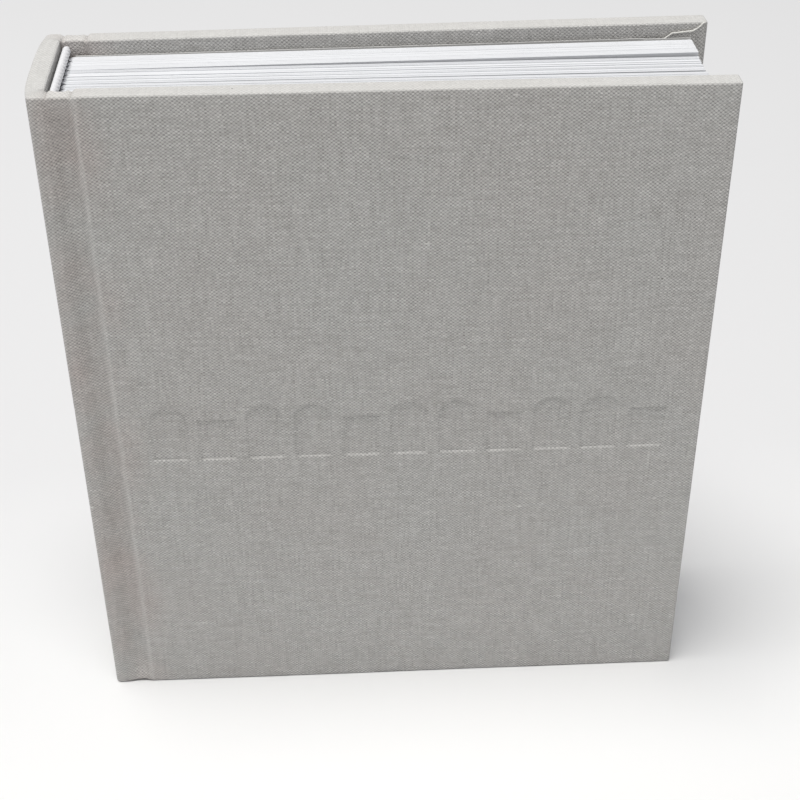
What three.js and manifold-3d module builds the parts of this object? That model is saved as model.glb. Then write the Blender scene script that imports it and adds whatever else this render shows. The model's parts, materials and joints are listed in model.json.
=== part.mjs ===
// Cloth-covered hardback guest book, standing on its tail edge, in millimetres with +Z up.
// +X runs from the spine to the fore edge, the front cover faces -Y and the back cover faces +Y.
// The book is worked out pressed shut, then each cover and section turns out by its share of the
// small angle that the covers spring open to on their own.
import * as THREE from 'three';
import { mergeVertices } from 'three/addons/utils/BufferGeometryUtils.js';
import Module from 'manifold-3d';

const wasm = await Module();
wasm.setup();

// Case
const WIDTH = 150.5;
const HEIGHT = 167.5;
const BOARD = 3.4;
const CLOTH = 0.5;
const FIT = 0.05;
const COVER = BOARD + 2 * (CLOTH + FIT);
const EDGE_ROUND = 1.1;
const TURN_IN = 15;
const BOARD_SETBACK = 11;
const SPINE_ROUND = 1.5;

// Joint between the spine and a cover
const HINGE_X = 7.5;
const HINGE_OUTSIDE = 0.2;
const JOINT_GAP = 0.3;
const GROOVE_DEPTH = 2.1;
const GROOVE_CLOTH = 1;

// Text block
const SQUARE = 3.6;
const FORE_SQUARE = 3.8;
const PAPER = 0.27;
const LEAF_PITCH = 0.31;
const ENDPAPER = 0.25;
const SHEETS_PER_SECTION = 4;
const SECTIONS_PER_HALF = 5;

// Linings on the back of the text block
const MULL = 0.3;
const LINING = 0.3;
const LAYER_GAP = 0.15;
const MULL_SHORT = 16;
const LINING_SHORT = 1.5;
const BEAD_RADIUS = 0.95;
const BAND_TAIL = 12;

// How far the covers stand open at rest, and each section's share of its cover's turn
const REST_OPENING = THREE.MathUtils.degToRad(0.8);
const sectionShare = (fromCentre) => (2 * fromCentre - 1) / (4 * SECTIONS_PER_HALF - 2);

// Worked-out sizes
const SECTION = 2 * SHEETS_PER_SECTION * LEAF_PITCH;
const COVER_STACK = COVER + FIT + ENDPAPER + FIT;
const THICKNESS = 2 * (COVER_STACK + LEAF_PITCH + SECTIONS_PER_HALF * SECTION);
const BLOCK_SPINE = HINGE_X + FIT;
const BLOCK_FORE = WIDTH - FORE_SQUARE;
const BLOCK_TAIL = SQUARE;
const BLOCK_HEAD = HEIGHT - SQUARE;
const BOARD_LOW = CLOTH + FIT;
const BOARD_HIGH = HEIGHT - CLOTH - FIT;

const linen = new THREE.MeshStandardMaterial({ color: 0x9c9a96, roughness: 0.9, metalness: 0 });
const greyboard = new THREE.MeshStandardMaterial({ color: 0x8d8577, roughness: 0.95, metalness: 0 });
const pagePaper = new THREE.MeshStandardMaterial({ color: 0xf4f5f7, roughness: 0.85, metalness: 0 });
const endPaper = new THREE.MeshStandardMaterial({ color: 0xf7f6f2, roughness: 0.8, metalness: 0 });
const mullCloth = new THREE.MeshStandardMaterial({ color: 0xe9e4d6, roughness: 0.95, metalness: 0 });
const kraftPaper = new THREE.MeshStandardMaterial({ color: 0xb9975f, roughness: 0.9, metalness: 0 });
const bandCotton = new THREE.MeshStandardMaterial({ color: 0xf2f2f4, roughness: 0.75, metalness: 0 });

// A closed geometry as a solid for cutting and joining.
function toSolid(geometry) {
  const bare = geometry.clone();
  bare.deleteAttribute('normal');
  bare.deleteAttribute('uv');
  const merged = mergeVertices(bare);
  const vertProperties = new Float32Array(merged.attributes.position.array);
  const triVerts = new Uint32Array(merged.index.array);
  return new wasm.Manifold(new wasm.Mesh({ numProp: 3, vertProperties, triVerts }));
}

// A solid's surface as a geometry.
function toGeometry(solid) {
  const mesh = solid.getMesh();
  const geometry = new THREE.BufferGeometry();
  geometry.setAttribute('position', new THREE.BufferAttribute(mesh.vertProperties, 3));
  geometry.setIndex(new THREE.BufferAttribute(mesh.triVerts, 1));
  geometry.computeVertexNormals();
  return geometry;
}

function named(name, geometry, material) {
  const mesh = new THREE.Mesh(geometry, material);
  mesh.name = name;
  return mesh;
}

// A block between two corners, each given as [x, y, z].
function block(low, high) {
  const size = high.map((value, i) => value - low[i]);
  const geometry = new THREE.BoxGeometry(...size);
  return geometry.translate(...low.map((value, i) => value + size[i] / 2));
}

// An outline in the XY plane raised from one height to another.
function raise(outline, bottom, top) {
  const geometry = new THREE.ExtrudeGeometry(outline, {
    depth: top - bottom,
    bevelEnabled: false,
    curveSegments: 5,
  });
  return geometry.translate(0, 0, bottom);
}

function rectangle(low, high) {
  return new THREE.Shape([
    new THREE.Vector2(low[0], low[1]),
    new THREE.Vector2(high[0], low[1]),
    new THREE.Vector2(high[0], high[1]),
    new THREE.Vector2(low[0], high[1]),
  ]);
}

// A panel that faces Y, with rounded edges all round both faces.
function roundedPanel(xLow, xHigh, zLow, zHigh, thickness, round) {
  const geometry = new THREE.ExtrudeGeometry(rectangle([xLow, zLow], [xHigh, zHigh]), {
    depth: thickness - 2 * round,
    bevelThickness: round,
    bevelSize: round,
    bevelOffset: -round,
    bevelSegments: 3,
  });
  return geometry.rotateX(Math.PI / 2).translate(0, thickness - round, 0);
}

// ---- Case: boards and cloth ----

function coverBoard() {
  return block([BOARD_SETBACK, CLOTH + FIT, BOARD_LOW], [WIDTH - CLOTH - FIT, CLOTH + FIT + BOARD, BOARD_HIGH]);
}

// The cover's share of the joint cloth: the floor of the groove and its rise to the board.
function coverJointOutline() {
  const outline = new THREE.Shape();
  const start = HINGE_X + JOINT_GAP;
  outline.moveTo(start, GROOVE_DEPTH);
  outline.lineTo(start + 1, GROOVE_DEPTH);
  outline.quadraticCurveTo(BOARD_SETBACK - 0.9, GROOVE_DEPTH - 0.3, BOARD_SETBACK - 0.6, EDGE_ROUND);
  outline.lineTo(BOARD_SETBACK + EDGE_ROUND, EDGE_ROUND);
  outline.lineTo(BOARD_SETBACK + EDGE_ROUND, GROOVE_DEPTH + GROOVE_CLOTH);
  outline.lineTo(start, GROOVE_DEPTH + GROOVE_CLOTH);
  outline.closePath();
  return outline;
}

// Cloth wrapped over a board: the outside, three edges, and the turn-ins glued round the inside.
function coverCloth() {
  const panel = toSolid(roundedPanel(BOARD_SETBACK - CLOTH, WIDTH, 0, HEIGHT, COVER, EDGE_ROUND));
  const joint = toSolid(raise(coverJointOutline(), 0, HEIGHT));
  const boardSpace = toSolid(
    block([BOARD_SETBACK - FIT, CLOTH, CLOTH], [WIDTH - CLOTH, COVER - CLOTH, HEIGHT - CLOTH]),
  );
  const insideFace = toSolid(
    block([BOARD_SETBACK - 1, COVER - CLOTH - FIT, TURN_IN], [WIDTH - TURN_IN, COVER + 1, HEIGHT - TURN_IN]),
  );
  return toGeometry(panel.add(joint).subtract(boardSpace).subtract(insideFace));
}

function spineBoard() {
  const inset = CLOTH + FIT;
  return block([inset, inset, BOARD_LOW], [inset + BOARD, THICKNESS - inset, BOARD_HIGH]);
}

// Cloth round the spine board with a flap into the groove on each side.
function spineClothOutline() {
  const flapEnd = HINGE_X - JOINT_GAP;
  const flapInside = GROOVE_DEPTH + GROOVE_CLOTH;
  const outline = new THREE.Shape();
  outline.moveTo(flapEnd, GROOVE_DEPTH);
  outline.lineTo(flapEnd, flapInside);
  outline.lineTo(COVER, flapInside);
  outline.lineTo(COVER, THICKNESS - flapInside);
  outline.lineTo(flapEnd, THICKNESS - flapInside);
  outline.lineTo(flapEnd, THICKNESS - GROOVE_DEPTH);
  outline.lineTo(COVER + 1.4, THICKNESS - GROOVE_DEPTH + 0.2);
  outline.quadraticCurveTo(COVER, THICKNESS - 0.2, COVER - 1.4, THICKNESS);
  outline.lineTo(SPINE_ROUND, THICKNESS);
  outline.quadraticCurveTo(0, THICKNESS, 0, THICKNESS - SPINE_ROUND);
  outline.lineTo(0, SPINE_ROUND);
  outline.quadraticCurveTo(0, 0, SPINE_ROUND, 0);
  outline.lineTo(COVER - 1.4, 0);
  outline.quadraticCurveTo(COVER, 0.2, COVER + 1.4, GROOVE_DEPTH - 0.2);
  outline.closePath();
  return outline;
}

function spineCloth() {
  const wrap = toSolid(raise(spineClothOutline(), 0, HEIGHT));
  const boardSpace = toSolid(
    block([CLOTH, CLOTH, CLOTH], [COVER - CLOTH, THICKNESS - CLOTH, HEIGHT - CLOTH]),
  );
  const flapInside = GROOVE_DEPTH + GROOVE_CLOTH;
  const insideFace = toSolid(
    block(
      [COVER - CLOTH - FIT, flapInside + FIT, TURN_IN],
      [COVER + FIT, THICKNESS - flapInside - FIT, HEIGHT - TURN_IN],
    ),
  );
  return toGeometry(wrap.subtract(boardSpace).subtract(insideFace));
}

// ---- Endpapers, sections and linings ----

function pastedown() {
  const face = COVER + FIT;
  return block([BOARD_SETBACK - 2, face, BLOCK_TAIL], [BLOCK_FORE, face + ENDPAPER, BLOCK_HEAD]);
}

// The free half of the endpaper, lying on the outermost section.
function flyleaf() {
  return block([0, FIT, BLOCK_TAIL], [BLOCK_FORE - BLOCK_SPINE, FIT + ENDPAPER, BLOCK_HEAD]);
}

// One sheet of a section, folded once at the spine round the sheets inside it.
function foldedSheet(nesting) {
  const outerRound = (SHEETS_PER_SECTION - nesting) * LEAF_PITCH - (LEAF_PITCH - PAPER) / 2;
  const innerRound = outerRound - PAPER;
  const middle = SECTION / 2;
  const foldCentre = SHEETS_PER_SECTION * LEAF_PITCH;
  const fore = BLOCK_FORE - BLOCK_SPINE;
  const outline = new THREE.Shape();
  outline.moveTo(fore, middle - outerRound);
  outline.lineTo(fore, middle - innerRound);
  outline.lineTo(foldCentre, middle - innerRound);
  outline.absarc(foldCentre, middle, innerRound, -Math.PI / 2, Math.PI / 2, true);
  outline.lineTo(fore, middle + innerRound);
  outline.lineTo(fore, middle + outerRound);
  outline.lineTo(foldCentre, middle + outerRound);
  outline.absarc(foldCentre, middle, outerRound, Math.PI / 2, -Math.PI / 2, false);
  outline.closePath();
  return raise(outline, BLOCK_TAIL, BLOCK_HEAD);
}

function mullLining() {
  const outer = BLOCK_SPINE - LAYER_GAP - MULL;
  return block(
    [outer, COVER_STACK, BLOCK_TAIL + MULL_SHORT],
    [outer + MULL, THICKNESS - COVER_STACK, BLOCK_HEAD - MULL_SHORT],
  );
}

function spinePaperLining() {
  const inner = BLOCK_SPINE - LAYER_GAP - MULL - LAYER_GAP;
  return block(
    [inner - LINING, COVER_STACK, BLOCK_TAIL + LINING_SHORT],
    [inner, THICKNESS - COVER_STACK, BLOCK_HEAD - LINING_SHORT],
  );
}

// A band at the head of the block: a cord bead along its top edge and a tape glued to its back.
function headBand() {
  const from = COVER_STACK + FIT;
  const to = THICKNESS - COVER_STACK - FIT;
  const tapeOuter = BLOCK_SPINE - LAYER_GAP - MULL;
  const bead = new THREE.CylinderGeometry(BEAD_RADIUS, BEAD_RADIUS, to - from, 16);
  bead.translate(BLOCK_SPINE - LAYER_GAP - BEAD_RADIUS, (from + to) / 2, BLOCK_HEAD + BEAD_RADIUS / 2);
  const tape = block([tapeOuter, from, BLOCK_HEAD - BAND_TAIL], [tapeOuter + MULL, to, BLOCK_HEAD + 0.3]);
  return toGeometry(toSolid(bead).add(toSolid(tape)));
}

// ---- Assembly ----

// A group that turns about an upright axis: its contents are placed from that axis.
function turned(x, y, angle, meshes) {
  const group = new THREE.Group();
  group.position.set(x, y, 0);
  group.rotation.z = angle;
  const contents = new THREE.Group();
  contents.add(...meshes);
  group.add(contents);
  return { group, contents };
}

// The front half of the book: a cover, its endpapers and the sections that open with it.
function bookHalf(side, sectionNames) {
  const half = new THREE.Group();
  const cover = turned(HINGE_X, -HINGE_OUTSIDE, -REST_OPENING, [
    named(`${side}_board`, coverBoard(), greyboard),
    named(`${side}_cover_cloth`, coverCloth(), linen),
    named(`${side}_pastedown`, pastedown(), endPaper),
  ]);
  cover.contents.position.set(-HINGE_X, HINGE_OUTSIDE, 0);
  half.add(cover.group);
  sectionNames.forEach((section, index) => {
    const angle = -REST_OPENING * sectionShare(SECTIONS_PER_HALF - index);
    const sheets = [];
    for (let nesting = 0; nesting < SHEETS_PER_SECTION; nesting += 1) {
      const sheet = named(`${section}_sheet_${nesting + 1}`, foldedSheet(nesting), pagePaper);
      sheet.position.set(FIT, LEAF_PITCH + index * SECTION, 0);
      sheets.push(sheet);
    }
    if (index === 0) {
      const leaf = named(`${side}_flyleaf`, flyleaf(), endPaper);
      leaf.position.x = FIT;
      sheets.push(leaf);
    }
    half.add(turned(HINGE_X, COVER_STACK, angle, sheets).group);
  });
  return half;
}

function sectionName(number) {
  return `section_${String(number).padStart(2, '0')}`;
}

const book = new THREE.Group();
const frontSections = [];
const backSections = [];
for (let number = 1; number <= SECTIONS_PER_HALF; number += 1) {
  frontSections.push(sectionName(number));
  backSections.push(sectionName(2 * SECTIONS_PER_HALF + 1 - number));
}
const backHalf = bookHalf('back', backSections);
backHalf.rotation.x = Math.PI;
backHalf.position.set(0, THICKNESS, HEIGHT);
const tailBand = named('tailband', headBand(), bandCotton);
tailBand.rotation.x = Math.PI;
tailBand.position.set(0, THICKNESS, HEIGHT);
book.add(
  named('spine_board', spineBoard(), greyboard),
  named('spine_cloth', spineCloth(), linen),
  named('mull_lining', mullLining(), mullCloth),
  named('spine_paper_lining', spinePaperLining(), kraftPaper),
  named('headband', headBand(), bandCotton),
  tailBand,
  bookHalf('front', frontSections),
  backHalf,
);

// The origin is under the middle of the book, on the surface that it stands on.
book.updateMatrixWorld(true);
const box = new THREE.Box3().setFromObject(book, true);
const centre = box.getCenter(new THREE.Vector3());
book.position.set(-centre.x, -centre.y, -box.min.z);

export default book;
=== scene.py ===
"""A small cloth-covered guest book standing on its tail edge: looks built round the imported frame."""
import json
import math

import bpy
import numpy as np
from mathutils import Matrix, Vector


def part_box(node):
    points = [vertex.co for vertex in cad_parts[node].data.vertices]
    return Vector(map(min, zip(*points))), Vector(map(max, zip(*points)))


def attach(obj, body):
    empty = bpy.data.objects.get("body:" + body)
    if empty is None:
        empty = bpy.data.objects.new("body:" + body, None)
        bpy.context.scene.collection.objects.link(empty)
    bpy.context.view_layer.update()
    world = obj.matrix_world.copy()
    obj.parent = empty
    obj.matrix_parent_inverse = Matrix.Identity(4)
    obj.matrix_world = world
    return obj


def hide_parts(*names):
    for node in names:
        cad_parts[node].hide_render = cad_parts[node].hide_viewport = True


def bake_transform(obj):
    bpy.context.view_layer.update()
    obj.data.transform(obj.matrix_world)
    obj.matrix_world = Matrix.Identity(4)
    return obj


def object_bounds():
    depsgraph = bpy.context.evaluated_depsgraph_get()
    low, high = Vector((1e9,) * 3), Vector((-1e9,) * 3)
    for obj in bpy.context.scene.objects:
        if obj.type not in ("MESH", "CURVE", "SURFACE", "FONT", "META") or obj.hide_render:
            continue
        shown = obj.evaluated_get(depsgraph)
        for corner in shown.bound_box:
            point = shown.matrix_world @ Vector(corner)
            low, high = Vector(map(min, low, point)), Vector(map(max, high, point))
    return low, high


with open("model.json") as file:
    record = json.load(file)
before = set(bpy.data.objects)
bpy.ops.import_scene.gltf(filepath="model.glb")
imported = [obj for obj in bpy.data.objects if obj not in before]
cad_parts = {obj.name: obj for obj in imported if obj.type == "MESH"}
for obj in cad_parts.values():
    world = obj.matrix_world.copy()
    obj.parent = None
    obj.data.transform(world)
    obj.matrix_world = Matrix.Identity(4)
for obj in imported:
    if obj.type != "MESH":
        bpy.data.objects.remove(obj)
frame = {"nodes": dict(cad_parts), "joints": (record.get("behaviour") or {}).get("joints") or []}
cad_low, cad_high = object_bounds()

MM = 0.001
JOINTS = {joint["name"]: joint for joint in frame["joints"]}

# Sizes read from the frame
SPINE_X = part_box("spine_cloth")[0].x
HALF_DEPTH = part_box("spine_cloth")[1].y
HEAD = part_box("spine_cloth")[1].z
HINGE = JOINTS["front_cover_hinge"]["pos_m"]
FOLD = JOINTS["section_01_turn"]["pos_m"]
BLOCK_LOW, BLOCK_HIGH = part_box("section_05_sheet_1")

# Case
REST_OPENING = math.radians(0.8)
WIDTH = cad_high.x - SPINE_X
COVER = 4.5 * MM
CLOTH = 0.45 * MM
EDGE_ROUND = 0.6 * MM
SPINE_ROUND = 1.2 * MM
SPINE_BOW = 1.25 * MM
GROOVE_DEPTH = 2.1 * MM
JOINT_THICK = 1.9 * MM
STRIP_END = 3.3 * MM
GROOVE_FROM = 7.4 * MM
GROOVE_TO = 8.5 * MM
BOARD_FROM = 11.2 * MM
TURN_IN = 15 * MM
BEND_FROM = 5.0 * MM
BEND_TO = 10.8 * MM

# The mesh of the case cloth: points round each board edge, and rows down each turn-in
EDGE_STEPS = 6
TURN_IN_ROWS = np.array([2.6, 5, 8, 11, 13.5, 15]) * MM

# The fore-edge turn-in: how far in from the fore edge its flat part starts, and its thickness
FLAP_SETBACK = 0.35 * MM
FLAP_THICK = 0.4 * MM

# Weave: threads across and up the cloth
WARP_PITCH = 0.508 * MM
WEFT_PITCH = 0.403 * MM

# Debossed ornament on the front cover: a row of plain arches and tiles on one base line
MOTIF_BASE = 73.4 * MM
MOTIF_ARCH = 15.4 * MM
MOTIF_TILE = 11.6 * MM
MOTIF_HALF = 4.3 * MM
MOTIF_PITCH = 11.5 * MM
MOTIF_FIRST = 22.4 * MM
MOTIF_COUNT = 11
MOTIF_DEPTH = 0.4 * MM
MOTIF_WALL = 0.5 * MM

# Text block
FOLD_U = FOLD[0] - SPINE_X
FOLD_V = FOLD[1] + HALF_DEPTH
FORE_U = BLOCK_HIGH.x - SPINE_X
BLOCK_TAIL = BLOCK_LOW.z
BLOCK_HEAD = BLOCK_HIGH.z
LEAF = 0.295 * MM
LEAF_PITCH = 0.31 * MM
SHEETS = 4
SECTIONS = 10
SECTION = 2 * SHEETS * LEAF_PITCH
GUTTER = 14 * MM
SPINE_SLACK = 1.35 * MM
ENDPAPER_THICK = 0.2 * MM
BEAD_RADIUS = 0.95 * MM
THREAD_PITCH = 1.8 * MM

# How far each section's fore edge has moved back from the pressed stack. The last three stand apart.
FORE_SHIFT = np.array([-1.35, -1.05, -0.8, -0.55, -0.25, 0.05, 0.38, 0.95, 0.99, 1.03]) * MM
REAR_GROUP = 7

# Points along each leaf of a folded sheet, and round its fold
LEG_STEPS = 13
FOLD_STEPS = 7


# ---------------------------------------------------------------- mesh helpers

def smooth(value):
    """0 to 1 with no slope at either end."""
    value = np.clip(value, 0, 1)
    return value * value * (3 - 2 * value)


def make_mesh(name, points, faces, side="front", flat=None):
    """A smooth mesh object. The back side's points are mirrored, so its faces are turned over."""
    if side == "back":
        faces = [tuple(reversed(face)) for face in faces]
    mesh = bpy.data.meshes.new(name)
    mesh.from_pydata(np.asarray(points).tolist(), [], faces)
    mesh.update()
    mesh.polygons.foreach_set("use_smooth", [True] * len(mesh.polygons))
    if flat is not None:
        attribute = mesh.attributes.new("flat", "FLOAT_VECTOR", "POINT")
        attribute.data.foreach_set("vector", np.asarray(flat, np.float32).ravel())
    piece = bpy.data.objects.new(name, mesh)
    bpy.context.scene.collection.objects.link(piece)
    return piece


def grid_faces(rows, columns, closed=False, first=0):
    """Quads of a grid of points stored row by row; closed joins the last column to the first."""
    faces = []
    for row in range(rows - 1):
        for column in range(columns if closed else columns - 1):
            after = (column + 1) % columns
            low = first + row * columns
            high = low + columns
            faces.append((low + column, high + column, high + after, low + after))
    return faces


def crisp_edges(piece):
    """Smooth faces, with sharp edges where two meet at more than 40 degrees."""
    bpy.context.view_layer.objects.active = piece
    piece.select_set(True)
    bpy.ops.object.shade_smooth_by_angle(angle=math.radians(40))
    piece.select_set(False)


def bake_modifiers(piece):
    """Replaces the piece's mesh with its mesh after modifiers."""
    graph = bpy.context.evaluated_depsgraph_get()
    graph.update()
    done = bpy.data.meshes.new_from_object(piece.evaluated_get(graph), depsgraph=graph)
    piece.modifiers.clear()
    piece.data = done


def thicken(piece, thickness, offset=-1):
    """Gives a surface its thickness, to one side of it, and keeps its real edges sharp."""
    shell = piece.modifiers.new("thickness", "SOLIDIFY")
    shell.thickness = thickness
    shell.offset = offset
    bake_modifiers(piece)
    crisp_edges(piece)


def turn(points, weight, angle, pivot):
    """Points turned about an upright axis through pivot by angle times each point's weight."""
    angle = np.asarray(weight) * angle
    c, s = np.cos(angle), np.sin(angle)
    x = points[:, 0] - pivot[0]
    y = points[:, 1] - pivot[1]
    turned = points.copy()
    turned[:, 0] = pivot[0] + x * c - y * s
    turned[:, 1] = pivot[1] + x * s + y * c
    return turned


def bend_weight(u):
    """0 on the spine's side of the joint and 1 on the cover's."""
    return smooth((u - BEND_FROM) / (BEND_TO - BEND_FROM))


def in_case(u, v, z, side):
    """Turns case coordinates (from spine, from outer face, height) into the shared frame, sprung open."""
    points = np.stack([SPINE_X + u, -HALF_DEPTH + v, z], axis=1)
    points = turn(points, bend_weight(u), -REST_OPENING, HINGE)
    if side == "back":
        points[:, 1] *= -1
    return points


def mirrored(side):
    """The sign of the cloth's across coordinate, so that the weave runs on over the spine."""
    return 1 if side == "front" else -1


def hinge_blend(piece):
    """Bakes the piece's placement into its mesh."""
    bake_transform(piece)


# ---------------------------------------------------------------- material helpers

class Shader:
    """A node material on one Principled shader, with short calls for the nodes that it needs."""

    def __init__(self, name, roughness, **constants):
        self.material = bpy.data.materials.new(name)
        self.material.use_nodes = True
        self.tree = self.material.node_tree
        self.principled = self.tree.nodes["Principled BSDF"]
        self.principled.inputs["Roughness"].default_value = roughness
        for key, value in constants.items():
            self.principled.inputs[key.replace("_", " ")].default_value = value

    def node(self, kind, **settings):
        made = self.tree.nodes.new("ShaderNode" + kind)
        for key, value in settings.items():
            setattr(made, key, value)
        return made

    def put(self, socket, value):
        if isinstance(value, bpy.types.NodeSocket):
            self.tree.links.new(value, socket)
        else:
            socket.default_value = value

    def math(self, operation, *values):
        made = self.node("Math", operation=operation)
        for socket, value in zip(made.inputs, values):
            self.put(socket, value)
        return made.outputs[0]

    def vector(self, x, y, z=0.0):
        made = self.node("CombineXYZ")
        for socket, value in zip(made.inputs, (x, y, z)):
            self.put(socket, value)
        return made.outputs[0]

    def noise(self, vector, scale, detail=2.0, roughness=0.5):
        made = self.node("TexNoise")
        self.put(made.inputs["Vector"], vector)
        made.inputs["Scale"].default_value = scale
        made.inputs["Detail"].default_value = detail
        made.inputs["Roughness"].default_value = roughness
        return made.outputs["Fac"]

    def spread(self, value, low, high, to_low=0.0, to_high=1.0):
        made = self.node("MapRange")
        for socket, item in zip(made.inputs, (value, low, high, to_low, to_high)):
            self.put(socket, item)
        return made.outputs[0]

    def ramp(self, value, *stops):
        """Colour by value: stops are (position, (r, g, b))."""
        made = self.node("ValToRGB")
        band = made.color_ramp
        while len(band.elements) < len(stops):
            band.elements.new(0.5)
        for element, (position, colour) in zip(band.elements, stops):
            element.position = position
            element.color = (*colour, 1)
        self.put(made.inputs[0], value)
        return made.outputs[0]

    def mix(self, factor, first, second, blend="MIX"):
        made = self.node("Mix", data_type="RGBA", blend_type=blend)
        self.put(made.inputs[0], factor)
        self.put(made.inputs[6], first)
        self.put(made.inputs[7], second)
        return made.outputs[2]

    def sum(self, *weighted):
        """The sum of values, each given as (value, weight)."""
        total = 0.0
        for value, weight in weighted:
            total = self.math("ADD", total, self.math("MULTIPLY", value, weight))
        return total

    def object_place(self):
        return self.node("TexCoord").outputs["Object"]

    def bump(self, height, distance, strength):
        made = self.node("Bump")
        made.inputs["Distance"].default_value = distance
        made.inputs["Strength"].default_value = strength
        self.put(made.inputs["Height"], height)
        return made.outputs[0]

    def finish(self, colour, normal=None, roughness=None):
        """Joins what is given to the Principled shader, and returns the material."""
        for key, value in (("Base Color", colour), ("Normal", normal), ("Roughness", roughness)):
            if value is not None:
                self.put(self.principled.inputs[key], value)
        return self.material


def flat_axes(shader):
    """The cloth's own coordinates in metres, and its painted light: painted highlight above 0 and painted
    shade below 0.
    """
    attribute = shader.node("Attribute", attribute_name="flat")
    parts = shader.node("SeparateXYZ")
    shader.put(parts.inputs[0], attribute.outputs["Vector"])
    across, up, painted_light = parts.outputs
    return across, up, shader.vector(across, up), shader.math("MULTIPLY", painted_light, 1 / MM)


def woven(shader, across, up, warp_pitch, weft_pitch, tension=2.2):
    """A plain weave. Returns its height, each thread's number and how much warp shows."""
    warp = shader.math("DIVIDE", across, warp_pitch)
    weft = shader.math("DIVIDE", up, weft_pitch)
    crowns = []
    numbers = []
    for threads in (warp, weft):
        numbers.append(shader.math("FLOOR", threads))
        offset = shader.math("SUBTRACT", shader.math("FRACT", threads), 0.5)
        away = shader.math("MULTIPLY", shader.math("ABSOLUTE", offset), 2.0)
        crowns.append(shader.math("SUBTRACT", 1.0, shader.math("POWER", away, tension)))
    waves = [shader.math("SINE", shader.math("MULTIPLY", threads, math.pi)) for threads in (warp, weft)]
    over = shader.spread(shader.math("MULTIPLY", *waves), -1.0, 1.0)
    warp_height = shader.math("MULTIPLY", crowns[0], over)
    weft_height = shader.math("MULTIPLY", crowns[1], shader.math("SUBTRACT", 1.0, over))
    height = shader.math("MAXIMUM", warp_height, weft_height)
    return height, numbers[0], numbers[1], over


# ---------------------------------------------------------------- materials

def loosened(shader, across, up, flat):
    """The cloth's coordinates, pushed about so that its threads wander as in real linen."""
    drift = shader.noise(flat, 55.0, 2.0)
    sway = shader.noise(shader.vector(up, across), 70.0, 2.0)
    shake = shader.noise(flat, 330.0, 2.0)
    loose_across = shader.sum((across, 1.0), (drift, 1.3 * MM), (shake, 0.35 * MM))
    loose_up = shader.sum((up, 1.0), (sway, 1.3 * MM), (shake, -0.3 * MM))
    return loose_across, loose_up


def yarn_tone(shader, across, up, warp_number, weft_number, over):
    """Each thread has its own tone, which changes slowly along it."""
    along_warp = shader.vector(
        shader.math("MULTIPLY", warp_number, 0.73), shader.math("MULTIPLY", up, 90.0))
    along_weft = shader.vector(
        shader.math("MULTIPLY", across, 110.0), shader.math("MULTIPLY", weft_number, 0.61), 7.0)
    tone = shader.node("Mix", data_type="FLOAT")
    shader.put(tone.inputs[0], over)
    shader.put(tone.inputs[2], shader.noise(along_weft, 1.0, 2.0, 0.6))
    shader.put(tone.inputs[3], shader.noise(along_warp, 1.0, 2.0, 0.6))
    return tone.outputs[0]


def slubs_and_flecks(shader, across, up, weft_number):
    """Short thick pale places on single weft threads, and a few dark flecks of flax."""
    slub_place = shader.vector(
        shader.math("MULTIPLY", across, 260.0), shader.math("MULTIPLY", weft_number, 3.7), 3.0)
    fleck_place = shader.vector(
        shader.math("MULTIPLY", across, 700.0), shader.math("MULTIPLY", up, 900.0), 11.0)
    slub = shader.spread(shader.noise(slub_place, 1.0, 1.0), 0.75, 0.85)
    fleck = shader.spread(shader.noise(fleck_place, 1.0, 1.0), 0.79, 0.85)
    return slub, fleck


def weave_shade(shader, height, warp_number, weft_number, over):
    """Painted shade: the gaps between threads are darker, for the shade in them, and the warp's crossings
    are darker than the weft's, for how light from above falls on the relief. No two crossings are quite the
    same in tone.
    """
    chequer = shader.spread(over, 0.5, 0.85, 1.0, 0.56)
    gaps = shader.spread(height, 0.02, 0.45, 0.55, 1.0)
    crossing = shader.node("TexWhiteNoise", noise_dimensions="2D")
    shader.put(crossing.inputs["Vector"], shader.vector(warp_number, weft_number))
    uneven = shader.spread(crossing.outputs["Value"], 0.0, 1.0, 0.88, 1.08)
    shade = shader.math("MULTIPLY", shader.math("MULTIPLY", chequer, gaps), uneven)
    grey = shader.node("CombineColor")
    for socket in grey.inputs:
        shader.put(socket, shade)
    return grey.outputs[0]


def joint_warmth(shader, across, flat):
    """How pink the cloth is: in cloudy patches on the strip beside the spine, and hardly on the cover."""
    cloud = shader.spread(shader.noise(flat, 28.0, 3.0, 0.55), 0.36, 0.62)
    from_spine = shader.math("ABSOLUTE", across)
    joint = shader.math("MULTIPLY", shader.spread(from_spine, 27 * MM, 35 * MM, 0.9, 0.12),
                        shader.spread(from_spine, 15 * MM, 19 * MM))
    return shader.math("MULTIPLY", cloud, joint)


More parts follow.
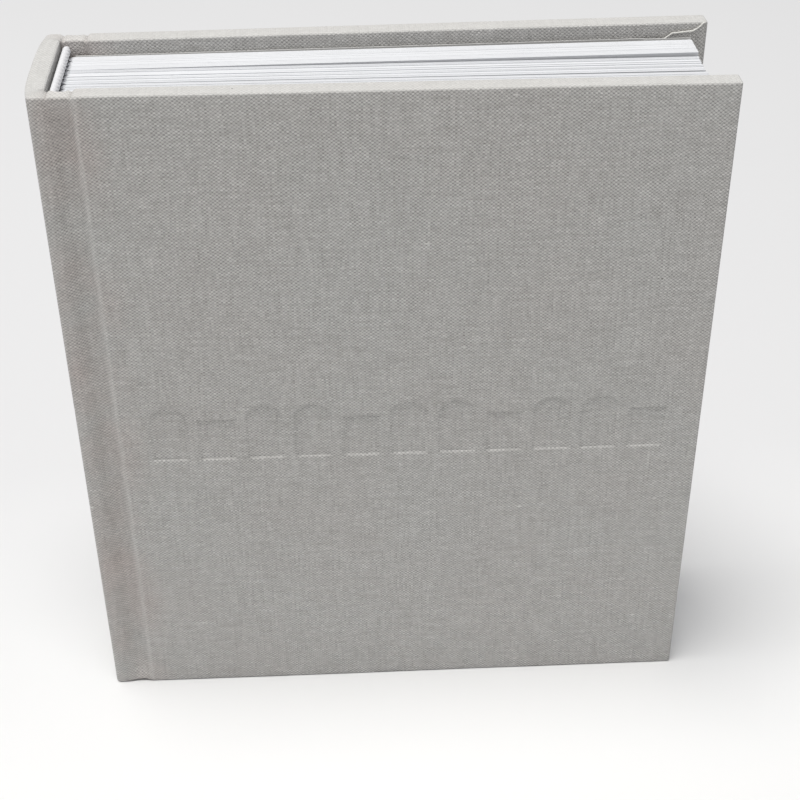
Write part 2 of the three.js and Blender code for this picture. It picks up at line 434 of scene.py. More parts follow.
def linen_material():
    """Grey-beige linen book cloth: plain weave of uneven yarn, with slubs, painted shade in the weave, and
    painted highlight and shade on the head edge, the board's shoulder and the ornament's walls.
    """
    shader = Shader("linen_cloth", 0.92, Sheen_Weight=0.25, Sheen_Roughness=0.5, Specular_IOR_Level=0.25)
    across, up, flat, painted_light = flat_axes(shader)
    loose_across, loose_up = loosened(shader, across, up, flat)
    height, warp_number, weft_number, over = woven(shader, loose_across, loose_up, WARP_PITCH, WEFT_PITCH)
    yarn = yarn_tone(shader, across, up, warp_number, weft_number, over)
    slub, fleck = slubs_and_flecks(shader, across, up, weft_number)
    fibre = shader.noise(flat, 5200.0, 3.0, 0.7)

    colour = shader.ramp(
        yarn, (0.26, (0.53, 0.519, 0.497)), (0.5, (0.645, 0.636, 0.615)), (0.74, (0.76, 0.751, 0.728)))
    # Painted shade of the weave's relief, multiplied into the cloth's colour.
    shade = weave_shade(shader, height, warp_number, weft_number, over)
    colour = shader.mix(1.0, colour, shade, "MULTIPLY")
    colour = shader.mix(joint_warmth(shader, across, flat), colour, (1.0, 0.895, 0.875, 1), "MULTIPLY")
    # Painted light: the pale mix is a painted highlight and the dull mix a painted shade, both read from
    # the third value of the flat attribute.
    pale = shader.math("MULTIPLY", shader.spread(painted_light, 0.1, 1.1), 0.42)
    dull = shader.math("MULTIPLY", shader.spread(painted_light, -0.1, -1.1), 0.6)
    colour = shader.mix(pale, colour, (0.88, 0.87, 0.84, 1))
    colour = shader.mix(dull, colour, (0.34, 0.33, 0.31, 1))
    colour = shader.mix(slub, colour, (0.84, 0.83, 0.80, 1))
    colour = shader.mix(fleck, colour, (0.16, 0.15, 0.135, 1))

    weft_rise = shader.spread(over, 0.0, 1.0, 1.0, 0.55)
    woven_rise = shader.math("MULTIPLY", height, weft_rise)
    relief = shader.sum((woven_rise, 1.0), (slub, 0.6), (yarn, 0.3), (fibre, 0.2))
    normal = shader.bump(relief, 0.13 * MM, 0.9)
    return shader.finish(colour, normal, shader.spread(fibre, 0.2, 0.8, 0.85, 0.98))


def paper_material(name, colour):
    """Uncoated paper: faint cloudy fibre, with fine tooth."""
    shader = Shader(name, 0.82, Specular_IOR_Level=0.3)
    place = shader.object_place()
    cloud = shader.noise(place, 60.0, 4.0, 0.6)
    fibre = shader.noise(place, 2600.0, 4.0, 0.65)
    darker = tuple(channel * 0.94 for channel in colour)
    tone = shader.sum((cloud, 0.6), (fibre, 0.4))
    shade = shader.ramp(tone, (0.3, darker), (0.7, colour))
    normal = shader.bump(fibre, 0.03 * MM, 0.5)
    return shader.finish(shade, normal, shader.spread(fibre, 0.2, 0.8, 0.74, 0.9))


def greyboard_material():
    """Pressed recycled board: mottled grey-brown with pale and dark flecks."""
    shader = Shader("greyboard", 0.95, Specular_IOR_Level=0.2)
    place = shader.object_place()
    mottle = shader.noise(place, 180.0, 4.0, 0.6)
    fleck = shader.noise(place, 1500.0, 2.0, 0.5)
    colour = shader.ramp(mottle, (0.3, (0.20, 0.175, 0.14)), (0.7, (0.33, 0.30, 0.25)))
    colour = shader.mix(shader.spread(fleck, 0.66, 0.72), colour, (0.55, 0.52, 0.46, 1))
    colour = shader.mix(shader.spread(fleck, 0.34, 0.28), colour, (0.09, 0.08, 0.07, 1))
    return shader.finish(colour, shader.bump(fleck, 0.08 * MM, 0.7))


def kraft_material():
    """Brown kraft paper with long fibres running up the spine."""
    shader = Shader("kraft_paper", 0.85, Specular_IOR_Level=0.3)
    place = shader.object_place()
    stretched = shader.node("Mapping")
    shader.put(stretched.inputs["Vector"], place)
    stretched.inputs["Scale"].default_value = (1.0, 1.0, 0.2)
    fibre = shader.noise(stretched.outputs[0], 2400.0, 3.0, 0.6)
    cloud = shader.noise(place, 120.0, 3.0, 0.5)
    tone = shader.sum((fibre, 0.6), (cloud, 0.4))
    colour = shader.ramp(tone, (0.3, (0.33, 0.21, 0.11)), (0.7, (0.52, 0.36, 0.2)))
    return shader.finish(colour, shader.bump(fibre, 0.04 * MM, 0.6))


def gauze_material():
    """Starched open cotton gauze."""
    shader = Shader("mull_gauze", 0.95, Specular_IOR_Level=0.2)
    parts = shader.node("SeparateXYZ")
    shader.put(parts.inputs[0], shader.object_place())
    height = woven(shader, parts.outputs[1], parts.outputs[2], 0.9 * MM, 1.0 * MM, 1.2)[0]
    colour = shader.ramp(height, (0.1, (0.38, 0.34, 0.26)), (0.5, (0.80, 0.77, 0.68)))
    return shader.finish(colour, shader.bump(height, 0.2 * MM, 0.9))


def band_material():
    """White cotton thread, with a soft lustre."""
    shader = Shader("band_cotton", 0.6, Sheen_Weight=0.3, Sheen_Roughness=0.4)
    place = shader.object_place()
    strand = shader.noise(place, 3800.0, 3.0, 0.6)
    cloud = shader.noise(place, 400.0, 2.0, 0.5)
    tone = shader.sum((strand, 0.5), (cloud, 0.5))
    colour = shader.ramp(tone, (0.3, (0.72, 0.72, 0.745)), (0.7, (0.88, 0.88, 0.89)))
    roughness = shader.spread(strand, 0.2, 0.8, 0.5, 0.7)
    return shader.finish(colour, shader.bump(strand, 0.05 * MM, 0.7), roughness)


def table_material():
    """A matt white table, whiter in front of the book than behind it: painted light, lighter in front where
    the book's shadow falls and darker behind.
    """
    shader = Shader("table_white", 0.9, Specular_IOR_Level=0.2)
    place = shader.object_place()
    parts = shader.node("SeparateXYZ")
    shader.put(parts.inputs[0], place)
    cloud = shader.math("MULTIPLY", shader.noise(place, 9.0, 3.0, 0.5), 0.1)
    # Painted light: the table is made lighter towards the front, where the book's shadow falls.
    forward = shader.math("ADD", shader.spread(parts.outputs[1], 0.08, -0.06), cloud)
    return shader.finish(shader.ramp(forward, (0.05, (0.80, 0.80, 0.804)), (1.05, (0.91, 0.91, 0.905))))


LINEN = linen_material()
PAGE = paper_material("page_paper", (0.80, 0.81, 0.83))
ENDPAPER = paper_material("endpaper", (0.80, 0.795, 0.78))
BACKING = paper_material("cloth_backing", (0.80, 0.79, 0.75))
GREYBOARD = greyboard_material()
KRAFT = kraft_material()
GAUZE = gauze_material()
COTTON = band_material()


def dress(piece, material):
    """Gives the piece its only material, and names it as a slot."""
    piece.data.materials.clear()
    piece.data.materials.append(material)


# ---------------------------------------------------------------- case cloth

def spine_bow(v):
    """How far the spine's outer face falls back from its middle line at depth v."""
    return SPINE_BOW * abs(1 - v / HALF_DEPTH) ** 3.5


def case_path(face_steps):
    """Half of the case from the middle of the spine to the fore edge.

    Returns the outside and inside points as (u, v), and how far in the head and tail edges are."""
    outside, inside = [], []
    for v in np.linspace(HALF_DEPTH, SPINE_ROUND, 24):
        outside.append((spine_bow(v), v))
        inside.append((COVER, max(v, GROOVE_DEPTH + JOINT_THICK)))
    corner = spine_bow(SPINE_ROUND)
    for angle in np.linspace(0, math.pi / 2, 7)[1:]:
        outside.append((corner + SPINE_ROUND * (1 - math.cos(angle)), SPINE_ROUND * (1 - math.sin(angle))))
        share = angle / (math.pi / 2)
        inside.append((COVER + 0.3 * MM * share, GROOVE_DEPTH + JOINT_THICK))
    joint = np.concatenate([
        np.linspace(corner + SPINE_ROUND, STRIP_END, 4)[1:],
        np.linspace(STRIP_END, GROOVE_FROM, 10)[1:],
        np.linspace(GROOVE_FROM, GROOVE_TO, 4)[1:],
        np.linspace(GROOVE_TO, BOARD_FROM, 10)[1:],
    ])
    for u in joint:
        sink = smooth((u - STRIP_END) / (GROOVE_FROM - STRIP_END))
        rise = smooth((u - GROOVE_TO) / (BOARD_FROM - GROOVE_TO))
        outside.append((u, GROOVE_DEPTH * float(sink - rise)))
        under = GROOVE_DEPTH + JOINT_THICK
        step = float(smooth((u - 9.9 * MM) / (1.1 * MM)))
        inside.append((max(u, COVER + 0.3 * MM), under + (COVER - under) * step))
    for u in np.linspace(BOARD_FROM, WIDTH - EDGE_ROUND, face_steps)[1:]:
        outside.append((u, 0.0))
        inside.append((u, COVER))
    inset = [0.0] * len(outside)
    for angle in np.linspace(0, math.pi / 2, 6)[1:]:
        inset.append(EDGE_ROUND * (1 - math.cos(angle)))
        outside.append((WIDTH - EDGE_ROUND * (1 - math.sin(angle)), inset[-1]))
        inside.append((outside[-1][0], COVER - inset[-1]))
    for further in np.linspace(EDGE_ROUND, COVER / 2 - 0.02 * MM, 4)[1:]:
        inset.append(further)
        outside.append((WIDTH, further))
        inside.append((WIDTH, COVER - further))
    return np.array(outside), np.array(inside), np.array(inset)


def motif_distance(arch, x, z):
    """Signed distance to a plain solid arch, or to a plain tile, that stands on the base line."""
    if not arch:
        return np.maximum(np.abs(x) - MOTIF_HALF, np.abs(z - MOTIF_TILE / 2) - MOTIF_TILE / 2)
    spring = MOTIF_ARCH - MOTIF_HALF
    straight = np.maximum(np.abs(x) - MOTIF_HALF, -z)
    return np.where(z < spring, straight, np.hypot(x, z - spring) - MOTIF_HALF)


def deboss(u, z):
    """How deep the ornament presses the front cover at each point."""
    nearest = np.full(u.shape, 1.0)
    for number in range(MOTIF_COUNT):
        x = u - MOTIF_FIRST - number * MOTIF_PITCH
        nearest = np.minimum(nearest, motif_distance(number % 3 != 1, x, z - MOTIF_BASE))
    return MOTIF_DEPTH * smooth(0.5 - nearest / MOTIF_WALL)


def painted_wall_light(u, z):
    """Painted light on the ornament's walls: above 0, a painted highlight, along the lower edges, which
    face up, and below 0, a painted shade, along the others.
    """
    step = 0.15 * MM
    rise = (deboss(u, z + step) - deboss(u, z - step)) / (2 * step)
    sideways = np.abs(deboss(u + step, z) - deboss(u - step, z)) / (2 * step)
    return rise - 0.45 * sideways


def ripple(u, z, seed):
    """The board's slight unevenness under the cloth."""
    rng = np.random.default_rng(seed)
    total = np.zeros(u.shape)
    for wavelength, size in ((95, 0.09), (48, 0.05), (21, 0.025), (9, 0.012)):
        for _ in range(3):
            heading = rng.uniform(0, 2 * math.pi)
            phase = rng.uniform(0, 2 * math.pi)
            reach = u * math.cos(heading) + z * math.sin(heading)
            total += size / 3 * np.sin(2 * math.pi * reach / (wavelength * MM) + phase)
    return total * MM


def outer_rows(fine):
    """Heights of the rows of points on the outer face, closer together across the ornament."""
    low = 2.6 * MM
    high = HEAD - 2.6 * MM
    if not fine:
        return np.linspace(low, high, 64)
    band_low = MOTIF_BASE - 1.2 * MM
    band_high = MOTIF_BASE + MOTIF_ARCH + 1.2 * MM
    return np.concatenate([
        np.linspace(low, band_low, 30)[:-1],
        np.linspace(band_low, band_high, 76),
        np.linspace(band_high, high, 34)[1:],
    ])


def edge_heights(outside, inset):
    """Heights of the head and tail edges. In the joint no board holds them up, so they sag and tuck."""
    u = outside[:, 0]
    sag = smooth((u - 3.5 * MM) / (4.0 * MM)) - smooth((u - 8.6 * MM) / (2.2 * MM))
    tucks = np.exp(-((u - 5.0 * MM) / (0.35 * MM)) ** 2) + np.exp(-((u - 10.2 * MM) / (0.4 * MM)) ** 2)
    tucks = np.where(outside[:, 1] < GROOVE_DEPTH * 1.05, tucks, 0)
    return HEAD - inset - 0.15 * MM * sag - 0.5 * MM * tucks, inset + 0.5 * MM * sag


def loop_round_board(rows, thickness, radius, top, bottom):
    """One loop of cloth: up the outer face, over the head, down and up the turn-ins, and round the tail.

    Returns the depth from the outer face and the height of each point."""
    arc = np.linspace(0, math.pi / 2, EDGE_STEPS)
    rise = radius * np.sin(arc)
    bulge = radius - radius * np.cos(arc)
    flats = np.linspace(radius, thickness - radius, 5)[1:-1]
    turn_in = np.full(len(TURN_IN_ROWS), thickness)
    depth = np.concatenate([
        np.zeros(len(rows)), bulge, flats, thickness - bulge[::-1],
        turn_in, turn_in,
        thickness - bulge, flats[::-1], bulge[::-1]])
    height = np.concatenate([
        rows, top - radius + rise, np.full(len(flats), top), top - radius + rise[::-1],
        HEAD - TURN_IN_ROWS, TURN_IN_ROWS[::-1],
        bottom + radius - rise, np.full(len(flats), bottom), bottom + radius - rise[::-1]])
    return depth, height


def cloth_upward(depth, height, turn_start):
    """The cloth's own upward coordinate, which goes on over the head edge and under the tail edge."""
    step = np.hypot(np.diff(depth, axis=1), np.diff(height, axis=1))
    start = height[:, :1]
    upward = start + np.concatenate([np.zeros((len(depth), 1)), np.cumsum(step, axis=1)], axis=1)
    gap = np.hypot(depth[:, -1:] - depth[:, :1], height[:, -1:] - start)
    downward = upward - upward[:, -1:] + start - gap
    return np.where(np.arange(depth.shape[1])[None, :] < turn_start, upward, downward)


def pressed_in(u, height, outside, inset, fine, seed):
    """How far the outer face lies below its plain path, and above it at the groove's shallow ends."""
    from_joint = np.clip((u - BOARD_FROM) / (6 * MM), 0, 1)
    from_fore = np.clip((WIDTH - u) / (4 * MM), 0, 1)
    pressed = ripple(u, height, seed) * np.minimum(from_joint, from_fore)
    if fine:
        pressed = pressed + deboss(u, height)
    groove = np.where(outside[:, 0] > STRIP_END, outside[:, 1], 0)[:, None] * (inset == 0)[:, None]
    near_end = 1 - smooth(np.minimum(HEAD - height, height) / (7 * MM))
    return pressed - 0.95 * groove * near_end


def painted_cloth_light(u, height, outermost, fine):
    """Painted light on the cloth: painted highlight above 0, on the head edge's top face, the board's
    shoulder and the ornament's lower walls, and painted shade below 0, on the ornament's other walls.
    """
    # Painted highlight on the head edge's top face, which faces the light above.
    head_edge = 1.35 * smooth((height - HEAD + 0.7 * MM) / (0.6 * MM))
    # Painted highlight along the board's shoulder, on the groove's slope that faces the light from the
    # left.
    board_shoulder = 0.55 * np.exp(-((u - 10.7 * MM) / (0.7 * MM)) ** 2) * outermost
    if not fine:
        return head_edge + board_shoulder
    # The ornament's walls: painted highlight on the lower edges and painted shade on the others.
    return head_edge + board_shoulder + 0.6 * painted_wall_light(u, height) * outermost


def case_cloth(side, fine, seed):
    """Cloth over half of the case, turned in at the head and tail round the boards and the joint."""
    outside, inside, inset = case_path(320 if fine else 90)
    stations = len(outside)
    rows = outer_rows(fine)
    span = inside - outside
    thickness = np.hypot(span[:, 0], span[:, 1])
    across = span / thickness[:, None]
    run = np.concatenate([[0], np.cumsum(np.hypot(*np.diff(outside, axis=0).T))])
    head, tail = edge_heights(outside, inset)
    radius = np.where(
        inset > 0, np.maximum(EDGE_ROUND - inset, 0.02 * MM), np.minimum(EDGE_ROUND, thickness * 0.46))
    loops = [loop_round_board(rows, *station) for station in zip(thickness, radius, head, tail)]
    depth = np.array([loop[0] for loop in loops])
    height = np.array([loop[1] for loop in loops])
    count = depth.shape[1]

    place_u = outside[:, 0][:, None] + across[:, 0][:, None] * depth
    place_v = outside[:, 1][:, None] + across[:, 1][:, None] * depth
    outer = np.clip(1 - depth / (0.5 * COVER), 0, 1)
    place_v = place_v + pressed_in(place_u, height, outside, inset, fine, seed) * outer
    points = in_case(place_u.ravel(), place_v.ravel(), height.ravel(), side)

    turn_start = len(rows) + 2 * EDGE_STEPS + 3 + len(TURN_IN_ROWS)
    up = cloth_upward(depth, height, turn_start)
    # The third value of the flat attribute is the cloth's painted light: painted highlight above 0, painted
    # shade below 0.
    painted_light = painted_cloth_light(place_u, height, outer > 0.9, fine)
    flat = np.stack([mirrored(side) * np.repeat(run, count), up.ravel(), painted_light.ravel() * MM], axis=1)

    # The turn-ins stop short of each other, so the loops are open across the middle of the inside.
    faces = [face for face in grid_faces(stations, count, closed=True) if face[0] % count != turn_start - 1]
    piece = make_mesh(f"{side}_case_cloth", points, faces, side, flat)
    piece.data.validate()
    thicken(piece, CLOTH)
    dress(piece, LINEN)
    hinge_blend(piece)
    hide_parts(f"{side}_cover_cloth", "spine_cloth")


case_cloth("front", True, 3)
case_cloth("back", False, 8)


# ---------------------------------------------------------------- fore-edge turn-in

def flap_drop(from_edge):
    """How far below the head edge the fore-edge turn-in's cut top lies, from the fore edge inward."""
    reach = np.array([0.0, 1.0, 1.9, 3.1, 7.9, 10.3, 15.5]) * MM
    drop = np.array([0.2, 0.5, 1.3, 2.0, 2.4, 4.2, 9.4]) * MM
    return np.interp(from_edge, reach, drop)


def flap_ends(drop):
    """Heights of the flap's cut ends at the tail and at the head."""
    return drop * 0.97 + 0.1 * MM, HEAD - drop


def round_fore_edge(share):
    """The flap's first rows, which come round the fore edge just under the head and tail turn-ins."""
    u = WIDTH - np.array([0.03, 0.03, 0.08, 0.2]) * MM
    depth = np.array([COVER / 2 - 0.1 * MM, COVER - 0.6 * MM, COVER - 0.35 * MM, COVER - 0.16 * MM])
    height = 1.0 * MM + share * (HEAD - 2.0 * MM)
    along = np.ones(len(share))
    return u[:, None] * along, depth[:, None] * along, height * np.ones((len(u), 1))


def fore_turn_in(side, seed):
    """The fore-edge turn-in: a flap of cloth folded last, over the ends of the head and tail turn-ins."""
    rng = np.random.default_rng(seed)
    reach = np.concatenate([np.linspace(0.0, 1.6, 7), np.linspace(2.0, 15.0, 22)]) * MM
    middle = np.linspace(0.12, 0.88, 50)[1:-1]
    share = np.concatenate([np.linspace(0, 0.12, 20), middle, np.linspace(0.88, 1, 20)])
    from_edge, along = np.meshgrid(reach, share, indexing="ij")
    low, high = flap_ends(flap_drop(from_edge))
    height = low + along * (high - low)
    over_head = smooth((height - (HEAD - TURN_IN - 1 * MM)) / (2 * MM))
    over_tail = smooth((TURN_IN + 1 * MM - height) / (2 * MM))
    wrap = smooth(from_edge / (1.4 * MM))
    depth = COVER + (0.06 + 0.34 * (over_head + over_tail) * wrap) * MM - (1 - wrap) * 0.12 * MM
    u = WIDTH - FLAP_SETBACK - from_edge
    uneven = np.interp(height, np.linspace(0, HEAD, 60), rng.normal(0, 0.12, 60)) * MM
    u = u + uneven * smooth((from_edge - 12 * MM) / (3 * MM))

    round_u, round_depth, round_height = round_fore_edge(share)
    across = np.concatenate([WIDTH + 0.4 * MM - COVER + round_depth[:, 0], 2 * WIDTH - u[:, 0]])
    u = np.concatenate([round_u, u])
    depth = np.concatenate([round_depth, depth])
    height = np.concatenate([round_height, height])
    points = in_case(u.ravel(), depth.ravel(), height.ravel(), side)
    flat = np.stack([mirrored(side) * across.repeat(len(share)), height.ravel(), np.zeros(u.size)], axis=1)
    piece = make_mesh(f"{side}_fore_turn_in", points, grid_faces(len(u), len(share)), side, flat)
    thicken(piece, FLAP_THICK)
    dress(piece, LINEN)
    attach(piece, f"{side}_cover")


def cut_edge(side):
    """The pale raw edge of the fore-edge turn-in, where its paper backing shows at the head and tail."""
    steps, around = 60, 8
    from_edge = np.linspace(0.5, 15.0, steps) * MM
    ring = np.linspace(0, 2 * math.pi, around, endpoint=False)
    depth = COVER + 0.42 * MM - 0.5 * MM * (1 - smooth((from_edge - 0.4 * MM) / (1.2 * MM)))
    radius = (0.17 + 0.04 * np.random.default_rng(5).random(steps)) * MM
    tail, head = flap_ends(flap_drop(from_edge))
    for end, height in (("head", head), ("tail", tail)):
        u = (WIDTH - FLAP_SETBACK - from_edge)[:, None] + np.zeros(around)
        v = depth[:, None] + radius[:, None] * np.cos(ring)
        z = height[:, None] + radius[:, None] * np.sin(ring)
        points = in_case(u.ravel(), v.ravel(), z.ravel(), side)
        faces = grid_faces(steps, around, closed=True)
        piece = make_mesh(f"{side}_turn_in_edge_{end}", points, faces, side)
        dress(piece, BACKING)
        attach(piece, f"{side}_cover")


fore_turn_in("front", 21)
fore_turn_in("back", 22)
for half in ("front", "back"):
    cut_edge(half)


# ---------------------------------------------------------------- paper

def sheet_mesh(name, path_u, path_v, normal_u, normal_v, thickness, low, high, rows, place, side="front"):
    """A thick sheet along a path in plan, from low to high, which are heights for each path point."""
    count = len(path_u)
    levels = np.linspace(0, 1, rows)
    layers = []
    for offset in (-0.5, 0.5):
        u = path_u + normal_u * thickness * offset
        v = path_v + normal_v * thickness * offset
        for level in levels:
            z = low + (high - low) * level
            layers.append(np.stack([u, v, z], axis=1))
    points = place(np.concatenate(layers))
    faces = [tuple(reversed(face)) for face in grid_faces(rows, count)]
    faces += grid_faces(rows, count, first=rows * count)
    shift = rows * count
    for column in range(count - 1):
        top = (rows - 1) * count + column
        faces.append((column, column + 1, column + 1 + shift, column + shift))
        faces.append((top + 1, top, top + shift, top + shift + 1))
    for row in range(rows - 1):
        near = row * count
        far = near + count - 1
        faces.append((near + count, near, near + shift, near + count + shift))
        faces.append((far, far + count, far + count + shift, far + shift))
    piece = make_mesh(name, points, faces, side)
    crisp_edges(piece)
    return piece


def fan_out(shift, side, wave=None):
    """Places points by turning them about the block's corner so that the fore edge moves by shift."""
    corner = (FOLD[0], FOLD[1] if side == "front" else -FOLD[1])
    angle = shift / (FORE_U - FOLD_U)

    def place(points):
        world = np.stack([SPINE_X + points[:, 0], -HALF_DEPTH + points[:, 1], points[:, 2]], axis=1)
        if wave is not None:
            world[:, 1] += wave(points)
        weight = smooth((points[:, 0] - FOLD_U) / GUTTER)
        return turn(world, weight, angle, corner)

    return place


def fold_path(middle_v, nesting, fore):
    """A sheet's path in plan, from the fore edge round its fold and back, with the direction out of it."""
    radius = (SHEETS - nesting - 0.5) * LEAF_PITCH
    centre_u = FOLD_U + 0.08 * MM - SPINE_SLACK + SHEETS * LEAF_PITCH
    leg_u = centre_u + (fore - centre_u) * np.linspace(0, 1, LEG_STEPS)[::-1]
    fold = np.linspace(0, math.pi, FOLD_STEPS + 2)[1:-1]
    leg = np.ones(LEG_STEPS)
    path_u = np.concatenate([leg_u, centre_u - radius * np.sin(fold), leg_u[::-1]])
    path_v = middle_v + radius * np.concatenate([-leg, -np.cos(fold), leg])
    normal_u = np.concatenate([0 * leg, np.sin(fold), 0 * leg])
    normal_v = np.concatenate([leg, np.cos(fold), -leg])
    return path_u, path_v, normal_u, normal_v


def folded_sheet(section, index, nesting, side, shift, rng):
    """One sheet folded round the sheets inside it."""
    apart = index >= REAR_GROUP
    fore = FORE_U + (rng.uniform(-0.03, 0.03) if apart else rng.uniform(-0.25, 0.05)) * MM
    path = fold_path(FOLD_V + LEAF_PITCH + (index + 0.5) * SECTION, nesting, fore)
    path_u = path[0]
    uneven = (0.02 if apart else 0.13) * MM
    raised = 0.0 if apart else -(0.1 + 0.7 * path_u / FORE_U) * MM
    front_leaf = LEG_STEPS + FOLD_STEPS // 2
    halves = [front_leaf, len(path_u) - front_leaf]
    high = BLOCK_HEAD + raised + rng.uniform(-uneven, uneven, 2).repeat(halves)
    low = BLOCK_TAIL + raised * 0.5 + rng.uniform(-uneven, uneven, 2).repeat(halves)

    def wave(points):
        reach = smooth((points[:, 0] - FOLD_U) / (60 * MM))
        phase = index * 1.7
        return 0.03 * MM * reach * np.sin(points[:, 0] / (19 * MM) + points[:, 2] / (31 * MM) + phase)

    place = fan_out(shift, side, wave)
    piece = sheet_mesh(f"{section}_leaves_{nesting + 1}", *path, LEAF, low, high, 9, place)
    dress(piece, PAGE)
    gutter_blend(piece)
    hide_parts(f"{section}_sheet_{nesting + 1}")


def gutter_blend(piece):
    """Bakes the piece's placement into its mesh."""
    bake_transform(piece)


def text_block():
    """Every sheet of every section, from the front of the book to the back."""
    rng = np.random.default_rng(40)
    for index, shift in enumerate(FORE_SHIFT):
        side = "front" if index < SECTIONS / 2 else "back"
        for nesting in range(SHEETS):
            folded_sheet(f"section_{index + 1:02d}", index, nesting, side, shift, rng)


def flyleaf(side):
    """The free half of an endpaper, on the outermost section."""
    u = np.linspace(FOLD_U + 0.1 * MM - SPINE_SLACK, FORE_U - 0.3 * MM, 22)
    even = np.ones(len(u))
    v = (FOLD_V + 0.14 * MM) * even
    high = (BLOCK_HEAD - 0.25 * MM) * even
    low = (BLOCK_TAIL + 0.2 * MM) * even
    front = fan_out(FORE_SHIFT[0] - 0.08 * MM, "front")

    def place(points):
        world = front(points)
        if side == "back":
            world[:, 1] *= -1
        return world

    piece = sheet_mesh(
        f"{side}_flyleaf_paper", u, v, 0 * even, even, ENDPAPER_THICK, low, high, 9, place, side)
    dress(piece, ENDPAPER)
    gutter_blend(piece)
    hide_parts(f"{side}_flyleaf")


def pastedown(side):
    """The pasted half of an endpaper, sunk between the turn-ins that it covers."""
    flap_edge = WIDTH - TURN_IN
    u = np.concatenate([
        np.linspace(FOLD_U + 0.1 * MM, BOARD_FROM + 1 * MM, 10),
        np.linspace(14 * MM, flap_edge - 2 * MM, 24),
        np.linspace(flap_edge - 1.2 * MM, flap_edge + 1.2 * MM, 6),
        np.linspace(138 * MM, FORE_U, 6)])
    z = np.concatenate([
        np.linspace(BLOCK_TAIL - 0.4 * MM, TURN_IN - 1.5 * MM, 6),
        np.linspace(TURN_IN - 1 * MM, TURN_IN + 1 * MM, 5),
        np.linspace(TURN_IN + 3 * MM, HEAD - TURN_IN - 3 * MM, 24),
        np.linspace(HEAD - TURN_IN - 1 * MM, HEAD - TURN_IN + 1 * MM, 5),
        np.linspace(HEAD - TURN_IN + 1.5 * MM, BLOCK_HEAD + 0.1 * MM, 6)])
    grid_u, grid_z = np.meshgrid(u, z, indexing="ij")
    inside_u = smooth((flap_edge + 0.7 * MM - grid_u) / (1.4 * MM))
    above_tail = smooth((grid_z - TURN_IN + 0.7 * MM) / (1.4 * MM))
    below_head = smooth((HEAD - TURN_IN + 0.7 * MM - grid_z) / (1.4 * MM))
    inside_z = above_tail * below_head
    flap = smooth((grid_u - (flap_edge - 0.2 * MM)) / (1.0 * MM))
    sink = inside_u * inside_z * smooth((grid_u - BOARD_FROM) / (1.5 * MM))
    ridge = flap * (1 - inside_z)
    v = COVER + ENDPAPER_THICK + 0.1 * MM - 0.3 * MM * sink + 0.36 * MM * ridge
    points = in_case(grid_u.ravel(), v.ravel(), grid_z.ravel(), side)
    faces = [tuple(reversed(face)) for face in grid_faces(len(u), len(z))]
    piece = make_mesh(f"{side}_pastedown_paper", points, faces, side)
    thicken(piece, ENDPAPER_THICK)
    dress(piece, ENDPAPER)
    hinge_blend(piece)
    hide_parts(f"{side}_pastedown")


text_block()
for half in ("front", "back"):
    flyleaf(half)
    pastedown(half)


# ---------------------------------------------------------------- head and tail bands

def wrapped_cord(node, centre_x, centre_z, low_y, high_y):
    """The bead: a cord wrapped in slanting thread, rounded off at both ends."""
    around, steps = 24, 260
    y = np.linspace(low_y - 0.8 * MM, high_y + 0.8 * MM, steps)
    ring = np.linspace(0, 2 * math.pi, around, endpoint=False)
    place, turned = np.meshgrid(y, ring, indexing="ij")
    end = np.minimum(place - y[0], y[-1] - place) / (1.6 * MM)
    closing = np.sqrt(np.clip(1 - (1 - np.minimum(end, 1.0)) ** 2, 0, 1))
    thread = np.abs(np.sin(math.pi * place / THREAD_PITCH + turned))
    r = BEAD_RADIUS * closing * (0.66 + 0.34 * thread)
    x = centre_x + r * np.cos(turned)
    z = centre_z + r * np.sin(turned)
    points = np.stack([x.ravel(), place.ravel(), z.ravel()], axis=1)
    return make_mesh(f"{node}_bead", points, grid_faces(steps, around, closed=True))


def woven_tape(node, x, low, high):
    """The tape that the bead is sewn to, glued down the spine of the block."""
    rows, across = 26, 90
    y, z = np.meshgrid(np.linspace(low.y, high.y, across), np.linspace(low.z, high.z, rows), indexing="ij")
    ribs = 0.05 * MM * np.cos(y / (0.95 * MM) * 2 * math.pi)
    points = np.stack([(x + ribs).ravel(), y.ravel(), z.ravel()], axis=1)
    faces = [tuple(reversed(face)) for face in grid_faces(across, rows)]
    tape = make_mesh(f"{node}_tape", points, faces)
    thicken(tape, 0.25 * MM)
    return tape


def head_band(node):
    """The band at one end of the spine: its bead just past the pages' edge, and its tape."""
    low, high = [corner.copy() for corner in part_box(node)]
    centre_x = SPINE_X + FOLD_U - SPINE_SLACK - 0.2 * MM
    if node == "headband":
        high.z += 0.25 * MM
        centre_z = high.z
    else:
        low.z -= 0.25 * MM
        centre_z = low.z
    bead = wrapped_cord(node, centre_x, centre_z, low.y, high.y)
    tape = woven_tape(node, centre_x - 0.4 * MM, low, high)
    for piece in (bead, tape):
        dress(piece, COTTON)
        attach(piece, "spine")
        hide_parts(node)


head_band("headband")
head_band("tailband")


# ---------------------------------------------------------------- spine linings

def lining(node, material, gap, thickness):
    """A sheet glued over the folds, which shows the sections under it as shallow ribs."""
    low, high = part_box(node)
    across, rows = 121, 60
    y, z = np.meshgrid(np.linspace(low.y, high.y, across), np.linspace(low.z, high.z, rows), indexing="ij")
    rib = 0.06 * MM * np.cos(2 * math.pi * (y - FOLD[1]) / SECTION)
    x = np.full(y.shape, SPINE_X + FOLD_U - SPINE_SLACK - gap) + rib
    points = np.stack([x.ravel(), y.ravel(), z.ravel()], axis=1)
    faces = [tuple(reversed(face)) for face in grid_faces(across, rows)]
    piece = make_mesh(f"{node}_glued", points, faces)
    thicken(piece, thickness, offset=1)
    dress(piece, material)
    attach(piece, "spine")
    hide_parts(node)


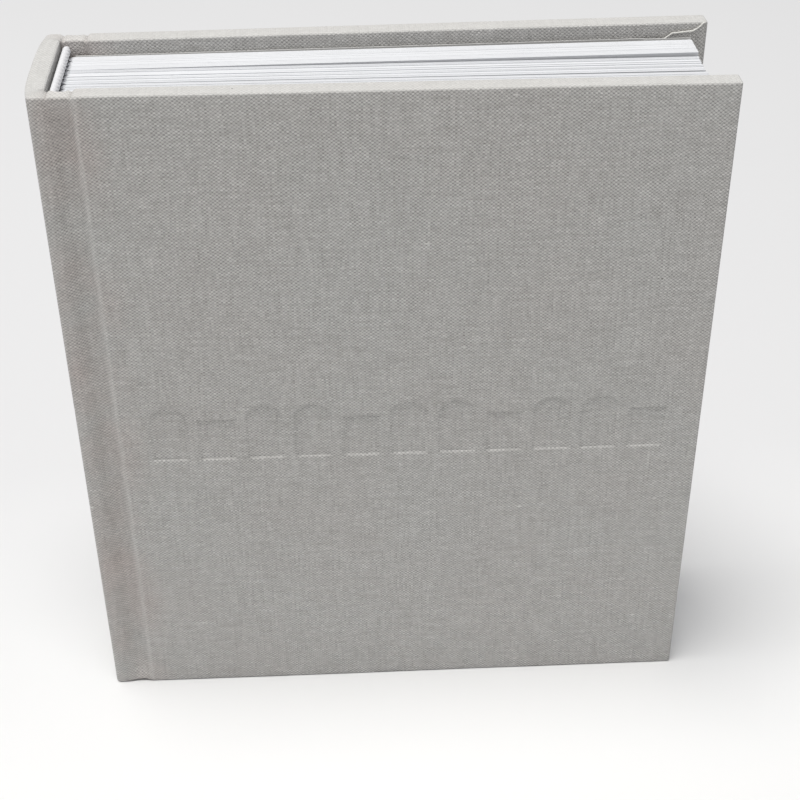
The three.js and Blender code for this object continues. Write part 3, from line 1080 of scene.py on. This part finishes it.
def bowed_spine_board():
    """The stiffener inside the spine cloth: flat inside, and bowed outside like the cloth over it."""
    low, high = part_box("spine_board")
    across, rows = 60, 40
    v = np.linspace(low.y + HALF_DEPTH, high.y + HALF_DEPTH, across)
    rows_z = np.linspace(low.z, high.z, rows)
    outer = np.array([spine_bow(place) for place in v]) + 0.55 * MM
    outline_u = np.concatenate([outer, np.full(across, COVER - 0.55 * MM)])
    outline_v = np.concatenate([v, v[::-1]])
    u = np.repeat(outline_u[None, :], rows, axis=0)
    side = np.repeat(outline_v[None, :], rows, axis=0)
    z = np.repeat(rows_z[:, None], 2 * across, axis=1)
    points = np.stack([(SPINE_X + u).ravel(), (side - HALF_DEPTH).ravel(), z.ravel()], axis=1)
    faces = grid_faces(rows, 2 * across, closed=True)
    faces.append(tuple(range(2 * across)))
    faces.append(tuple(reversed(range((rows - 1) * 2 * across, rows * 2 * across))))
    piece = make_mesh("spine_board_bowed", points, faces)
    crisp_edges(piece)
    dress(piece, GREYBOARD)
    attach(piece, "spine")
    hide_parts("spine_board")


bowed_spine_board()
lining("mull_lining", GAUZE, 0.1 * MM, 0.15 * MM)
lining("spine_paper_lining", KRAFT, 0.38 * MM, 0.15 * MM)


# ---------------------------------------------------------------- carried-over pieces

for board in ("front_board", "back_board"):
    dress(frame["nodes"][board], GREYBOARD)


# ---------------------------------------------------------------- stage, light and camera

def table():
    """A wide pale table top."""
    reach = 3.0
    points = [(x, y, 0.0) for x in (-reach, reach) for y in (-reach, reach)]
    faces = [tuple(reversed(face)) for face in grid_faces(2, 2)]
    top = make_mesh("table_top", points, faces)
    top.data.materials.append(table_material())


def area_light(name, place, target, size, power, colour):
    """A rectangular light that faces its target."""
    data = bpy.data.lights.new(name, "AREA")
    data.shape = "RECTANGLE"
    data.size, data.size_y = size
    data.energy = power
    data.color = colour
    light = bpy.data.objects.new(name, data)
    light.location = place
    light.rotation_euler = (Vector(target) - Vector(place)).to_track_quat("-Z", "Y").to_euler()
    bpy.context.scene.collection.objects.link(light)


def studio():
    """One large soft light above and to the left, and a dim bluish sky."""
    world = bpy.data.worlds.new("studio")
    world.use_nodes = True
    background = world.node_tree.nodes["Background"]
    background.inputs["Color"].default_value = (0.93, 0.95, 1.0, 1)
    background.inputs["Strength"].default_value = 0.2
    bpy.context.scene.world = world
    area_light("overhead", (-0.35, -0.28, 2.8), (0, 0, 0.1), (1.6, 1.2), 77.0, (1.0, 0.99, 0.975))
    bpy.context.scene.view_settings.view_transform = "Standard"


def camera():
    """The photograph's viewpoint: above the front cover, looking down at it."""
    data = bpy.data.cameras.new("camera")
    data.sensor_width = 36
    data.lens = 69.6
    data.shift_x = -0.025
    data.shift_y = 0.036
    data.clip_start = 0.01
    placed = bpy.data.objects.new("camera", data)
    placed.location = (-0.01317, -0.32025, 0.29729)
    placed.rotation_euler = (math.radians(54.373), 0.0, math.radians(-3.864))
    bpy.context.scene.collection.objects.link(placed)
    bpy.context.scene.camera = placed


table()
studio()
camera()
